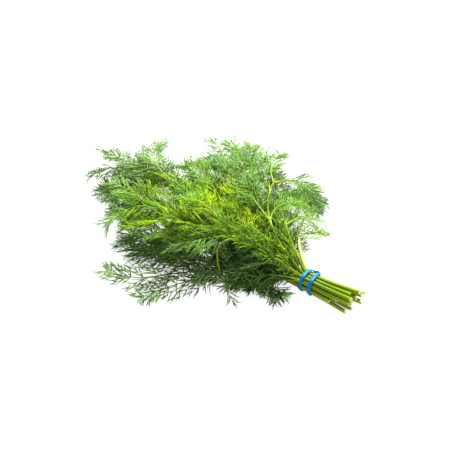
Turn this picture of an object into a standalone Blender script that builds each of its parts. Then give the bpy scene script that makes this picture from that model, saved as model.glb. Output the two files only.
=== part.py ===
"""A bunch of dill lying on a table: nineteen leafy stems held by a rubber band that goes round them twice.

The frame: the origin is on the table, under the band's strand nearer to the leaves. +X points to the cut
ends, the leaves spread towards -X, and +Z is up. The growth rules below work in millimetres, with the middle
of the band at x = 0.
"""
import math
import random

import bmesh
import bpy
import numpy as np
from mathutils import Matrix, Vector

MM = 0.001
UP = np.array([0.0, 0.0, 1.0])

STEM_COUNT = 19
STEM_RADIUS = (1.5, 2.1)
STEM_GAP = 0.4
STEM_STEP = 16.0
CUT_LENGTH = 51.0
CUT_SPLAY = 0.42
SHORT_STEM = {8: 36.0, 16: 33.0}
SHEATHED = {12: 1.5}
STRAIGHT = 9.0

BAND_THICK = 1.1
BAND_WIDTH = 3.6
BAND_CLEAR = 0.45
BAND_APART = 5.2
BAND_CROSSING = 0.0
CROSSING_REACH = 3.8
CROSSING_RAMP = 1.4
BAND_SECTIONS = 30

LEAF_STEP = 60.0
LEAF_LENGTH = (78, 108)
LEAF_TRIES = 24
RIB_RADIUS = (1.0, 0.5)
PINNA_PAIRS = 5
PINNA_LENGTH = (8.0, 36.0)
PINNA_RADIUS = 0.42
GAP = 0.35
OUTLINE_SPARE = 6.0
LOW_SHORTER = 32.0

# Stems by their place in the bundle: heading in the fan (degrees, + to the back), rise, reach past the band.
FAN = {
    16: (-30, 1, 84), 13: (-27, 12, 106), 11: (-23, -1, 112), 8: (-21, 7, 122), 3: (-16, 3, 148),
    5: (-9, 13, 158), 6: (-10, -1, 162), 0: (-1, 10, 205), 2: (5, 14, 186), 1: (8, 6, 196), 4: (14, 11, 178),
    14: (20, 3, 148), 7: (29, 15, 146), 9: (36, 10, 148), 17: (43, 14, 126),
}

# The way of each stem on top, past the band.
WAYS = {
    10: [(-17, -1, 26), (-33, 0, 37), (-45, 5, 44), (-63, 18, 50), (-79, 38, 50), (-88, 55, 48), (-94, 71, 46),
         (-90, 86, 43)],
    15: [(-17, 8, 26), (-27, 12, 31), (-38, 19, 37), (-51, 30, 42), (-60, 44, 42), (-64, 58, 39)],
    12: [(-18, 15, 19), (-33, 29, 26), (-44, 50, 29), (-48, 66, 27)],
    18: [(-22, -7, 25), (-35, -12, 33), (-51, -17, 40), (-75, -20, 45), (-94, -23, 47), (-114, -31, 48),
         (-133, -40, 47)],
}
HERO = 10

# The short side twig near the cut: the stem that it grows from, and its points.
TWIG_STEM = 7
TWIG = [(45, 8.1, 18.2), (50.5, 9.8, 19.3), (57.5, 12.8, 20.8)]
TWIG_RADIUS = 0.8

# Leaves that show their whole way: the stem that they grow from, and the rib's points.
SHOWN_LEAVES = [
    (10, [(-63, 18, 50), (-78, 23, 53), (-94, 31, 55), (-108, 42, 56), (-119, 53, 55)]),
    (10, [(-63, 18, 50), (-67, 33, 49), (-65, 50, 47), (-58, 64, 42), (-48, 74, 34)]),
    (10, [(-94, 71, 46), (-104, 80, 48), (-112, 92, 48), (-117, 106, 46), (-119, 118, 42)]),
    (10, [(-94, 71, 46), (-84, 78, 50), (-70, 82, 49), (-56, 81, 43), (-42, 78, 32)]),
    (10, [(-90, 86, 43), (-83, 95, 39), (-73, 101, 33), (-62, 104, 25), (-53, 104, 16)]),
    (15, [(-51, 30, 42), (-62, 34, 44), (-74, 41, 42), (-86, 50, 38)]),
    (15, [(-51, 30, 42), (-47, 41, 42), (-42, 53, 38), (-37, 63, 31)]),
    (12, [(-33, 29, 26), (-31, 41, 27), (-30, 53, 23), (-29, 63, 16)]),
    (18, [(-75, -20, 45), (-86, -31, 48), (-98, -43, 47), (-112, -54, 43), (-126, -63, 37)]),
    (18, [(-94, -23, 47), (-108, -14, 52), (-123, -7, 53), (-140, -3, 50), (-156, -2, 44)]),
    (16, [(-25, -9, 7), (-33, -14, 5), (-34, -20, 3), (-28, -24, 2), (-19, -27, 1.5)]),
    (11, [(-42, -8, 3), (-50, -15, 3), (-51, -23, 2), (-45, -30, 1.5)]),
    (16, [(-68, -22, 8), (-84, -40, 4), (-102, -64, 2.5), (-117, -88, 2), (-127, -110, 1.5)]),
    (11, [(-72, -18, 3), (-98, -43, 4), (-123, -69, 3.5), (-148, -93, 2.5), (-180, -104, 2)]),
    (3, [(-105, -20, 11), (-124, -40, 8), (-142, -54, 6), (-158, -62, 4), (-176, -64, 3)]),
    (18, [(-75, -20, 45), (-86, -33, 41), (-85, -42, 31), (-78, -46, 21), (-69, -51, 11), (-60, -56, 4),
          (-51, -60, 2)]),
    (18, [(-22, -7, 25), (-36, -15, 28), (-52, -24, 25), (-68, -33, 19), (-84, -42, 12)]),
    (8, [(-9, -4, 11), (-24, -15, 12), (-38, -23, 12), (-52, -32, 10), (-65, -40, 8)]),
    (2, [(-26, 2, 16), (-39, -4, 25), (-54, -9, 31), (-70, -14, 33)]),
    (5, [(-24, -2, 15), (-38, -9, 21), (-53, -17, 22), (-68, -27, 20)]),
    (7, [(-26, 8, 16), (-41, 12, 27), (-56, 14, 34), (-71, 14, 37)]),
    (13, [(-9, -6, 14), (-23, -15, 18), (-37, -24, 18), (-51, -34, 15), (-64, -44, 11)]),
    (9, [(-26, 8, 8), (-38, 23, 13), (-50, 37, 17), (-60, 50, 18)]),
    (17, [(-41, 13, 13), (-50, 28, 22), (-56, 42, 27), (-60, 56, 28)]),
    (4, [(-136, 25, 26), (-160, 39, 31), (-182, 48, 32), (-203, 53, 31)]),
    (10, [(-33, 0, 37), (-48, -3, 44), (-64, -3, 48), (-80, -1, 49), (-95, 2, 48)]),
    (15, [(-27, 12, 31), (-42, 15, 39), (-58, 16, 44), (-74, 15, 45)]),
    (4, [(-167, 31, 26), (-201, 29, 31), (-240, 20, 28), (-270, 6, 23), (-286, -10, 18)]),
    (2, [(-182, 14, 38), (-203, 17, 42), (-224, 27, 44), (-236, 41, 44), (-239, 55, 42)]),
    (0, [(-187, -5, 20), (-215, -11, 17), (-242, -19, 12), (-268, -13, 10)]),
    (5, [(-145, -23, 34), (-166, -27, 42), (-186, -40, 42), (-199, -58, 38), (-203, -74, 32)]),
    (7, [(-98, 36, 33), (-116, 54, 45), (-143, 78, 48), (-172, 101, 46)]),
    (17, [(-87, 57, 27), (-106, 74, 42), (-131, 93, 46), (-153, 111, 44)]),
    (4, [(-104, 20, 23), (-122, 42, 40), (-146, 63, 46), (-171, 80, 46), (-195, 94, 44)]),
]

# How far the foliage reaches from the band, seen from above: heading (degrees), distance.
REACH = [
    (-180, 10), (-75, 12), (-60, 18), (-50, 24), (-40, 32), (-32, 48), (-26, 92), (-23, 150), (-20, 205), (-14, 208),
    (-9, 215), (-5, 262), (2, 290), (7, 280), (12, 250), (17, 212), (24, 208), (34, 212), (42, 200), (52, 142),
    (60, 108), (68, 84), (85, 46), (110, 20), (180, 10),
]

# How high it reaches: distance from the band, height.
HEIGHT = [(0, 24), (40, 50), (80, 62), (130, 58), (200, 46), (300, 32)]

# Colours of the stems from the shaded underside to the sunlit top, and of the band.
SHADED_GREEN = (0.045, 0.105, 0.022)
SUNLIT_GREEN = (0.20, 0.36, 0.045)
BAND_BLUE = (0.008, 0.20, 0.56)


def smooth(t):
    t = min(1.0, max(0.0, t))
    return t * t * (3 - 2 * t)


def unit(v):
    return v / np.linalg.norm(v)


def pushed_apart(spots, radii):
    for a in range(STEM_COUNT):
        for b in range(a + 1, STEM_COUNT):
            apart = spots[b] - spots[a]
            far = np.linalg.norm(apart)
            need = radii[a] + radii[b] + STEM_GAP
            if far < need:
                shift = apart / far * (need - far) / 2
                spots[a] -= shift
                spots[b] += shift


def packed_stems():
    """Where each stem crosses the band: (y, z) from the bundle's middle, and its radius there."""
    rnd = random.Random("dill stems")
    radii = [rnd.uniform(*STEM_RADIUS) for _ in range(STEM_COUNT)]
    turn = math.pi * (3 - math.sqrt(5))
    spots = np.array([
        [2.4 * math.sqrt(k + 0.5) * math.cos(k * turn), 2.4 * math.sqrt(k + 0.5) * math.sin(k * turn)]
        for k in range(STEM_COUNT)
    ])
    for squeeze in [0.985] * 500 + [1.0] * 80:
        spots *= squeeze
        pushed_apart(spots, radii)
    return spots, radii


def half_hull(points):
    out = []
    for p in points:
        while len(out) > 1:
            (ay, az), (by, bz) = out[-2:]
            if (by - ay) * (p[1] - az) - (bz - az) * (p[0] - ay) > 0:
                break
            out.pop()
        out.append(p)
    return out[:-1]


def outline(spots, radii):
    """The stretched line round the stems, a little clear of them, anticlockwise."""
    turns = np.linspace(0, 2 * math.pi, 48, endpoint=False)
    points = sorted(
        (y + (r + BAND_CLEAR) * math.cos(t), z + (r + BAND_CLEAR) * math.sin(t))
        for (y, z), r in zip(spots, radii) for t in turns
    )
    return np.array(half_hull(points) + half_hull(points[::-1]))


def lowest_span(line):
    """The ends of the line's longest straight span, and the angle at which it runs."""
    edges = np.roll(line, -1, 0) - line
    k = int(np.argmax(np.linalg.norm(edges, axis=1)))
    return line[k], line[(k + 1) % len(line)], math.atan2(edges[k][1], edges[k][0])


def bundle():
    """The stems at the band, turned so that the band's longest straight span lies flat on the table."""
    spots, radii = packed_stems()
    angle = -lowest_span(outline(spots, radii))[2]
    turn = np.array([[math.cos(angle), -math.sin(angle)], [math.sin(angle), math.cos(angle)]])
    spots = spots @ turn.T
    line = outline(spots, radii)
    first, last, _ = lowest_span(line)
    middle = (first + last) / 2 - np.array([0, BAND_THICK])
    return spots - middle, radii, line - middle


def along_way(points, step):
    """A smooth line through the points, in steps of about that length."""
    points = np.array(points, float)
    ends = np.vstack([2 * points[0] - points[1], points, 2 * points[-1] - points[-2]])
    line = []
    for a, b, c, d in zip(ends, ends[1:], ends[2:], ends[3:]):
        for t in np.arange(8) / 8:
            line.append(b + 0.5 * t * (c - a + t * (2 * a - 5 * b + 4 * c - d + t * (3 * b - a - 3 * c + d))))
    line = np.array(line + [points[-1]])
    far = np.concatenate([[0], np.cumsum(np.linalg.norm(np.diff(line, axis=0), axis=1))])
    places = np.linspace(0, far[-1], max(2, round(far[-1] / step)) + 1)
    return np.stack([np.interp(places, far, line[:, k]) for k in range(3)], 1)


def fan_way(index, start, radius):
    """A stem's way past the band: it swings out to its heading, rises and then sags."""
    heading, rise, reach = FAN[index]
    wave = random.Random(f"way {index}").uniform(0, 2 * math.pi)
    sag = 0.10 if rise > 5 else 0.02
    step = STEM_STEP / 4
    p = np.array(start)
    points = [p]
    for k in range(int(reach / step)):
        far = (k + 0.5) * step
        turn = heading * smooth(far / 60) * (1.12 - far / 660) + 4.5 * smooth(far / 80) * math.sin(far / 30 + wave)
        turn = math.radians(turn)
        slope = math.radians(1.15 * rise * smooth(far / 45) - sag * max(0, far - 30))
        p = p + step * np.array([-math.cos(turn) * math.cos(slope), math.sin(turn) * math.cos(slope), math.sin(slope)])
        p[2] = max(p[2], radius + 0.15)
        points.append(p)
    return along_way(points[::4] + points[-1:], STEM_STEP)


def stem_line(index, spot, radius):
    """The stem's points from its cut end to its tip, its radius at each, and how many lie before the band."""
    y, z = spot
    cut = SHORT_STEM.get(index, CUT_LENGTH) + random.Random(f"stem {index}").uniform(-6, 4)
    behind = []
    for share in (1.0, 0.66, 0.33):
        x = STRAIGHT + (cut - STRAIGHT) * share
        t = (x - STRAIGHT) / (CUT_LENGTH - STRAIGHT)
        splay = 1 + CUT_SPLAY * t**1.5
        drop = (BAND_THICK + BAND_CLEAR) * t * t + CUT_SPLAY * radius * t**1.5
        behind.append([x, y * splay, z * splay - drop])
    start = [-STRAIGHT, y, z]
    if index in WAYS:
        ahead = along_way([start] + WAYS[index], STEM_STEP)[1:]
    else:
        ahead = fan_way(index, start, radius)[1:]
    points = np.vstack([behind, [[STRAIGHT, y, z], start], ahead])
    before = len(behind) + 1
    past = np.maximum(0, np.arange(len(points)) - before) / (len(points) - 1 - before)
    radii = radius * (1 - 0.62 * past**0.6)
    radii[before + 1] *= SHEATHED.get(index, 1.0)
    return points, radii, before


class Taken:
    """The tapered rods that stand so far, each with the stem that it belongs to."""

    def __init__(self):
        self.rods = []

    def add(self, start, end, radius, owner):
        self.rods.append((*start, *end, radius, owner))

    def room(self, start, end, radius, owner):
        """The least clear space from this rod to those of the other stems."""
        rods = np.array(self.rods)
        rods = rods[rods[:, 7] != owner]
        u, v, w = end - start, rods[:, 3:6] - rods[:, :3], start - rods[:, :3]
        uu, uv, vv = u @ u, v @ u, (v * v).sum(1)
        uw, vw = w @ u, (v * w).sum(1)
        s = np.clip((uv * vw - vv * uw) / np.maximum(uu * vv - uv * uv, 1e-9), 0, 1)
        t = np.clip((uv * s + vw) / vv, 0, 1)
        s = np.clip((uv * t - uw) / uu, 0, 1)
        apart = np.linalg.norm(w + s[:, None] * u - t[:, None] * v, axis=1)
        return float((apart - radius - rods[:, 6]).min())

    def line_room(self, points, radius, owner):
        return min(self.room(a, b, radius, owner) for a, b in zip(points[:-1], points[1:]))


def outside(points):
    """How far the points stand out of the bunch's outline, from above and from the side."""
    far = np.hypot(points[:, 0], points[:, 1])
    heading = np.degrees(np.arctan2(points[:, 1], -points[:, 0]))
    most = np.interp(heading, *zip(*REACH))
    most = most - LOW_SHORTER * np.clip(1 - points[:, 2] / 30, 0, 1) * (heading < -7)
    tall = np.interp(far, *zip(*HEIGHT))
    return max(0.0, (far + OUTLINE_SPARE - most).max(), (points[:, 2] - tall).max())


def sides_of(along):
    """Two directions square to this one: level, and upward."""
    across = unit(np.cross(along, UP))
    return across, np.cross(across, along)


def leaf_line(base, way, length, droop, bow, along):
    """A leaf's rib: it leaves the stem that way and arches over."""
    points = [base]
    count = 5
    for k in range(count):
        way = unit(way + bow * along - UP * droop * (k + 1) / count - np.array([0.05, 0, 0]))
        p = points[-1] + way * length / count
        p[2] = max(p[2], 1.3)
        points.append(p)
    return np.array(points)


def best_leaf(stem, at, length, last, taken, rnd):
    """Of a few leaves that could grow there, the one with the most room inside the bunch's outline."""
    path = stem["points"]
    along = unit(path[at] - path[at - 1])
    across, lift = sides_of(along)
    best_score, best = -1e9, None
    for _ in range(LEAF_TRIES):
        turn = rnd.uniform(0, 2 * math.pi)
        out = 0.25 if last else rnd.uniform(0.55, 1.2)
        way = unit(along + (across * math.cos(turn) + lift * math.sin(turn)) * out)
        size = length * rnd.uniform(0.7, 1.0)
        points = leaf_line(path[at], way, size, rnd.uniform(0.02, 0.30), rnd.uniform(-0.06, 0.12), along)
        room = taken.line_room(free_part(points), RIB_RADIUS[0], stem["index"])
        own = min(np.linalg.norm(q - path, axis=1).min() for q in points[2:])
        far = min(taken.line_room(points[2:], RIB_RADIUS[0], stem["index"]), 20.0)
        score = min(far, own) + 0.10 * size - 1.3 * outside(points[2:])
        if room > GAP and score > best_score:
            best_score, best = score, points
    return best


def leaf_places(stem):
    """Which of the stem's points carry a leaf, from its tip down."""
    points, before = stem["points"], stem["before"]
    rnd = random.Random(f"places {stem['index']}")
    last = len(points) - 1
    heading = math.degrees(math.atan2(points[last][1], -points[last][0]))
    far = 22 + 0.35 * max(0, heading + 40) + rnd.uniform(-6, 10)
    places = {last}
    while far < STEM_STEP * (last - before) - 0.4 * LEAF_STEP:
        places.add(before + max(1, round(far / STEM_STEP)))
        far += LEAF_STEP * rnd.uniform(0.85, 1.15)
    if stem["index"] == HERO:
        places -= {last}
    places = sorted(places, reverse=True)
    return places[::2] if stem["index"] in WAYS else places


def free_part(points):
    """The leaf's rib from where it has left its stem."""
    return np.vstack([points[0] + 0.16 * (points[1] - points[0]), points[1:]])


def add_leaf(stem, points, taken):
    stem["leaves"].append(dict(points=points, pinnae=[]))
    free = free_part(points)
    for a, b in zip(free[:-1], free[1:]):
        taken.add(a, b, RIB_RADIUS[0], stem["index"])


def grow_leaves(stems, taken):
    for index, points in SHOWN_LEAVES:
        path = stems[index]["points"]
        base = path[np.argmin(np.linalg.norm(path - points[0], axis=1))]
        add_leaf(stems[index], along_way([base] + points[1:], 18), taken)
    for rank in range(max(len(leaf_places(s)) for s in stems)):
        for stem in stems:
            places = leaf_places(stem)
            if rank < len(places):
                rnd = random.Random(f"leaf {stem['index']} {rank}")
                points = best_leaf(stem, places[rank], rnd.uniform(*LEAF_LENGTH), rank == 0, taken, rnd)
                if points is not None:
                    add_leaf(stem, points, taken)


def on_line(points, share):
    """The point that share of the way along the line, and the line's direction there."""
    k = min(len(points) - 2, int(share * (len(points) - 1)))
    step = points[k + 1] - points[k]
    return points[k] + step * (share * (len(points) - 1) - k), unit(step)


def grow_pinnae(stem, leaf, number, taken):
    """The leaf's side ribs in pairs, long at its foot and short at its tip, bent clear of the other stems."""
    points = leaf["points"]
    rnd = random.Random(f"pinnae {stem['index']} {number}")
    length = np.linalg.norm(np.diff(points, axis=0), axis=1).sum()
    for pair in range(PINNA_PAIRS):
        share = min(0.97, 0.26 + 0.70 * (pair + rnd.uniform(-0.12, 0.12)) / (PINNA_PAIRS - 1))
        base, along = on_line(points, share)
        across, lift = sides_of(along)
        short, long = PINNA_LENGTH
        size = short + (long - short) * (1 - share) ** 0.8 * min(1.1, length / 95)
        roll = rnd.uniform(-0.6, 0.6)
        for hand in (-1, 1):
            for attempt in range(8):
                turn = roll + rnd.uniform(-0.3, 0.3) * (1 + attempt / 2)
                side = hand * (across * math.cos(turn) + lift * math.sin(turn))
                way = unit(along + side * rnd.uniform(0.62, 0.95))
                tip = base + way * size * rnd.uniform(0.8, 1.1) * (1 if attempt < 4 else 0.6)
                tip[2] = max(tip[2], rnd.uniform(0.0, 1.2) ** 2)
                foot = base + 0.12 * (tip - base)
                if taken.room(foot, tip, PINNA_RADIUS, stem["index"]) > GAP:
                    taken.add(foot, tip, PINNA_RADIUS, stem["index"])
                    leaf["pinnae"].append((base, tip))
                    break


def grow():
    """Every stem with its points, its radii and its leaves, and the band's inner line."""
    spots, radii, line = bundle()
    taken = Taken()
    stems = []
    for index in range(STEM_COUNT):
        points, thick, before = stem_line(index, spots[index], radii[index])
        stems.append(dict(index=index, points=points, radii=thick, before=before, leaves=[]))
        for a, b, r in zip(points[:-1], points[1:], thick):
            taken.add(a, b, r, index)
    taken.add(*np.array(TWIG[1:], float), TWIG_RADIUS, TWIG_STEM)
    grow_leaves(stems, taken)
    for stem in stems:
        for number, leaf in enumerate(stem["leaves"]):
            grow_pinnae(stem, leaf, number, taken)
    return stems, line


def placed(point):
    """From the growth rules' millimetres to the frame's metres."""
    return Vector((float(point[0]) + BAND_APART, float(point[1]), float(point[2]))) * MM


def material(name, colour, roughness):
    mat = bpy.data.materials.new(name)
    mat.use_nodes = True
    shader = mat.node_tree.nodes["Principled BSDF"]
    shader.inputs["Base Color"].default_value = (*colour, 1)
    shader.inputs["Roughness"].default_value = roughness
    shader.inputs["Metallic"].default_value = 0.0
    mat.diffuse_color = (*colour, 1)
    return mat


def welded(mesh):
    bm = bmesh.new()
    bm.from_mesh(mesh)
    bmesh.ops.remove_doubles(bm, verts=bm.verts, dist=1e-6)
    bm.to_mesh(mesh)
    bm.free()


def tube(name, points, radii, bevel_resolution):
    """A closed tube along the points: four sides at bevel resolution 0, six at 1."""
    curve = bpy.data.curves.new("guide", "CURVE")
    curve.dimensions = "3D"
    curve.bevel_depth = MM
    curve.bevel_resolution = bevel_resolution
    curve.use_fill_caps = True
    spline = curve.splines.new("POLY")
    spline.points.add(len(points) - 1)
    for point, place, radius in zip(spline.points, points, radii):
        point.co = (*placed(place), 1)
        point.radius = radius
    guide = bpy.data.objects.new("guide", curve)
    bpy.context.scene.collection.objects.link(guide)
    mesh = bpy.data.meshes.new_from_object(guide.evaluated_get(bpy.context.evaluated_depsgraph_get()))
    welded(mesh)
    obj = bpy.data.objects.new(name, mesh)
    obj.matrix_world = guide.matrix_world
    bpy.data.objects.remove(guide)
    return obj


def needle(base, tip):
    """A three-sided cone with its foot inside the leaf's rib."""
    start, end = placed(base), placed(tip)
    bm = bmesh.new()
    bmesh.ops.create_cone(
        bm, cap_ends=True, segments=3, radius1=PINNA_RADIUS * MM, radius2=0, depth=(end - start).length
    )
    mesh = bpy.data.meshes.new("needle")
    bm.to_mesh(mesh)
    bm.free()
    obj = bpy.data.objects.new("needle", mesh)
    turn = (end - start).to_track_quat("Z", "Y").to_matrix().to_4x4()
    obj.matrix_world = Matrix.Translation((start + end) / 2) @ turn
    return obj


def joined(obj, twigs):
    """The object with the twigs' objects joined to it, which are then removed."""
    join = obj.modifiers.new("twigs", "BOOLEAN")
    join.operation = "UNION"
    join.operand_type = "COLLECTION"
    join.collection = twigs
    join.solver = "MANIFOLD"
    mesh = bpy.data.meshes.new_from_object(obj.evaluated_get(bpy.context.evaluated_depsgraph_get()))
    obj.modifiers.remove(join)
    obj.data = mesh
    for twig in list(twigs.objects):
        bpy.data.objects.remove(twig)
    bpy.data.collections.remove(twigs)


def leafy_stem(stem, bunch):
    """One stem with its leaves' ribs and side ribs, as one solid."""
    name = f"dill_stem_{stem['index'] + 1:02d}"
    obj = tube(name, stem["points"], stem["radii"], 1)
    bunch.objects.link(obj)
    twigs = bpy.data.collections.new("twigs")
    for leaf in stem["leaves"]:
        count = len(leaf["points"])
        rib = np.linspace(*RIB_RADIUS, count)
        rib[0] = min(rib[0], 0.7 * min(stem["radii"]))
        twigs.objects.link(tube("rib", leaf["points"], rib, 0))
        for base, tip in leaf["pinnae"]:
            twigs.objects.link(needle(base, tip))
    if stem["index"] == TWIG_STEM:
        twigs.objects.link(tube("twig", TWIG, [TWIG_RADIUS] * len(TWIG), 1))
    joined(obj, twigs)
    height = np.mean([leaf["points"][:, 2].mean() for leaf in stem["leaves"]]) if stem["leaves"] else 0
    share = smooth((height - 8) / 36)
    colour = [a + (b - a) * share for a, b in zip(SHADED_GREEN, SUNLIT_GREEN)]
    obj.data.materials.clear()
    obj.data.materials.append(material(name, colour, 0.5))
    obj.data.shade_smooth()
    obj.data.set_sharp_from_angle(angle=math.radians(50))
    return obj


def line_places(line):
    """Points round the line with its outward angle there, closer together where it bends."""
    edges = np.roll(line, -1, 0) - line
    lengths = np.linalg.norm(edges, axis=1)
    angles = np.unwrap(np.arctan2(edges[:, 1], edges[:, 0])) - math.pi / 2
    before = np.roll(angles, 1)
    before[0] -= 2 * math.pi
    corners = (angles + before) / 2
    corners = np.append(corners, corners[0] + 2 * math.pi)
    far = np.concatenate([[0], np.cumsum(lengths)])
    spread = far / far[-1] + (corners - corners[0]) / (2 * math.pi)
    closed = np.vstack([line, line[:1]])
    places = np.linspace(0, 2, BAND_SECTIONS, endpoint=False)
    points = np.stack([np.interp(places, spread, closed[:, k]) for k in (0, 1)], 1)
    return points, np.interp(places, spread, corners)


def band_line(line):
    """The band's middle line round the bundle twice, with the outward direction at each point."""
    points, angles = line_places(line)
    centre, outward = [], []
    for lap in (0, 1):
        for (y, z), angle in zip(points, angles):
            turned = (angle - BAND_CROSSING + math.pi) % (2 * math.pi)
            half = turned / 2 + math.pi * lap
            x = BAND_APART * math.tanh(2.4 * math.cos(half)) / math.tanh(2.4)
            lifted = lap * smooth((CROSSING_REACH - abs(x)) / CROSSING_RAMP) * (BAND_THICK + GAP)
            normal = np.array([0, math.cos(angle), math.sin(angle)])
            centre.append(np.array([x, y, z]) + normal * (BAND_THICK / 2 + lifted))
            outward.append((turned + 2 * math.pi * lap, normal))
    order = sorted(range(len(centre)), key=lambda k: outward[k][0])
    return np.array([centre[k] for k in order]), np.array([outward[k][1] for k in order])


def rubber_band(line, bunch):
    """One flat closed strip round the bundle twice, which crosses itself at the back."""
    centre, normals = band_line(line)
    bm = bmesh.new()
    rings = []
    for k, (point, normal) in enumerate(zip(centre, normals)):
        along = unit(centre[(k + 1) % len(centre)] - centre[k - 1])
        across = unit(np.cross(normal, along)) * BAND_WIDTH / 2
        out = normal * BAND_THICK / 2
        corners = (point - across - out, point + across - out, point + across + out, point - across + out)
        rings.append([bm.verts.new(placed(corner)) for corner in corners])
    for ring, after in zip(rings, rings[1:] + rings[:1]):
        for k in range(4):
            bm.faces.new((ring[k], ring[(k + 1) % 4], after[(k + 1) % 4], after[k]))
    bmesh.ops.recalc_face_normals(bm, faces=bm.faces)
    mesh = bpy.data.meshes.new("rubber_band")
    bm.to_mesh(mesh)
    bm.free()
    obj = bpy.data.objects.new("rubber_band", mesh)
    bunch.objects.link(obj)
    mesh.materials.append(material("rubber_band", BAND_BLUE, 0.45))
    mesh.shade_smooth()
    mesh.set_sharp_from_angle(angle=math.radians(40))
    return obj


def main():
    for obj in list(bpy.data.objects):
        bpy.data.objects.remove(obj)
    bunch = bpy.data.collections.new("dill_bunch")
    bpy.context.scene.collection.children.link(bunch)
    stems, line = grow()
    for stem in stems:
        leafy_stem(stem, bunch)
    rubber_band(line, bunch)


main()
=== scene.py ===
import math
import random

import bpy
import numpy as np
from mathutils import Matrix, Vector


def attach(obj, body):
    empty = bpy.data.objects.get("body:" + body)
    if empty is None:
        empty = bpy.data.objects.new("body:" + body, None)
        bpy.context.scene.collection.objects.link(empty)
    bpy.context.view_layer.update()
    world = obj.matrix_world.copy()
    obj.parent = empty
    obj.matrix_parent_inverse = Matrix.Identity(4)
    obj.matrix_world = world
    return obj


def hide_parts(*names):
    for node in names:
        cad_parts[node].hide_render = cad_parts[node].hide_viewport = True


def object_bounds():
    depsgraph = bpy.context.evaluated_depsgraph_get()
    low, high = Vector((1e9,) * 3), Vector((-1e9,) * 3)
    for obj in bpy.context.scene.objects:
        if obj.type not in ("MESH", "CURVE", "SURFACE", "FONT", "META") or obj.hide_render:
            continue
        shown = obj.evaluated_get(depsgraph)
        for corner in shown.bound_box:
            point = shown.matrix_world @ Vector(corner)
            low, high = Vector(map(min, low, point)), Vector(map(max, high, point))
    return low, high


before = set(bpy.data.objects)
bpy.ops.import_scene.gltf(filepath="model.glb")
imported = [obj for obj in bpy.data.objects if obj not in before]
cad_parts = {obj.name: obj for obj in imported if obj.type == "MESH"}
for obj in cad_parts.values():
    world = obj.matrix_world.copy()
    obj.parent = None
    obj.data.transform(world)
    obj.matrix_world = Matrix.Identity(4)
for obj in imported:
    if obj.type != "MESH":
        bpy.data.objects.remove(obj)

cad_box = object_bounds()


# The leafy stems: nineteen shoots of dill, cut off square and lying side by side. Each is one plant part, from
# the smooth ridged stem through its leaves' ribs and side ribs to the green threads that are the leaf itself.
# Only the rubber band holds them together. Lengths are in millimetres, with the band's middle at x = 0.
MM = 0.001
UP = np.array([0.0, 0.0, 1.0])
AHEAD = np.array([1.0, 0.0, 0.0])

STEM_COUNT = 19
STEM_RADIUS = (1.5, 2.1)
STEM_TAPER = 0.62
STEM_GAP = 0.4
STEM_STEP = 16.0
CUT_LENGTH = 51.0
CUT_SPLAY = 0.42
SHORT_STEM = {8: 36.0, 16: 33.0}
SHEATHED = {12: 1.5}
STRAIGHT = 9.0

BAND_THICK = 1.1
BAND_CLEAR = 0.45
BAND_APART = 5.2

FIRST_LEAF = 22.0
LEAF_STEP = 60.0
LEAF_LENGTH = (78, 108)
LEAF_TRIES = 24
LEAF_PARTS = 5
LEAF_LOWEST = 1.3
RIB_RADIUS = 1.0
PINNA_PAIRS = 5
PINNA_LENGTH = (8.0, 36.0)
PINNA_RADIUS = 0.42
GAP = 0.35
OUTLINE_SPARE = 6.0
LOW_SHORTER = 32.0

# Stems by their place in the bundle: heading in the fan (degrees, + to the back), rise, reach past the band.
FAN = {
    16: (-30, 1, 84), 13: (-27, 12, 106), 11: (-23, -1, 112), 8: (-21, 7, 122), 3: (-16, 3, 148),
    5: (-9, 13, 158), 6: (-10, -1, 162), 0: (-1, 10, 205), 2: (5, 14, 186), 1: (8, 6, 196), 4: (14, 11, 178),
    14: (20, 3, 148), 7: (29, 15, 146), 9: (36, 10, 148), 17: (43, 14, 126),
}

# How a stem swings out to its heading and wavers, and how it rises and then sags, over which distances.
SWING = 60.0
SWING_EASE = (1.12, 660.0)
WAVER, WAVER_FROM, WAVER_LENGTH = 4.5, 80.0, 30.0
RISE, RISE_LENGTH = 1.15, 45.0
SAG_HIGH, SAG_LOW, SAG_FROM = 0.10, 0.02, 30.0
HIGH_RISE = 5
STEM_CLEAR = 0.15

# How many steps round a line's bends between each two of its points: where it is laid out, and where it shows.
WAY_STEPS = 8
LINE_STEPS = 4

# The way of each stem on top, past the band.
WAYS = {
    10: [(-17, -1, 26), (-33, 0, 37), (-45, 5, 44), (-63, 18, 50), (-79, 38, 50), (-88, 55, 48),
         (-94, 71, 46), (-90, 86, 43)],
    15: [(-17, 8, 26), (-27, 12, 31), (-38, 19, 37), (-51, 30, 42), (-60, 44, 42), (-64, 58, 39)],
    12: [(-18, 15, 19), (-33, 29, 26), (-44, 50, 29), (-48, 66, 27)],
    18: [(-22, -7, 25), (-35, -12, 33), (-51, -17, 40), (-75, -20, 45), (-94, -23, 47), (-114, -31, 48),
         (-133, -40, 47)],
}
HERO = 10

# The short side twig near the cut: the stem that it grows from, and its points.
TWIG_STEM = 7
TWIG = [(45, 8.1, 18.2), (50.5, 9.8, 19.3), (57.5, 12.8, 20.8)]
TWIG_RADIUS = 0.8

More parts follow.
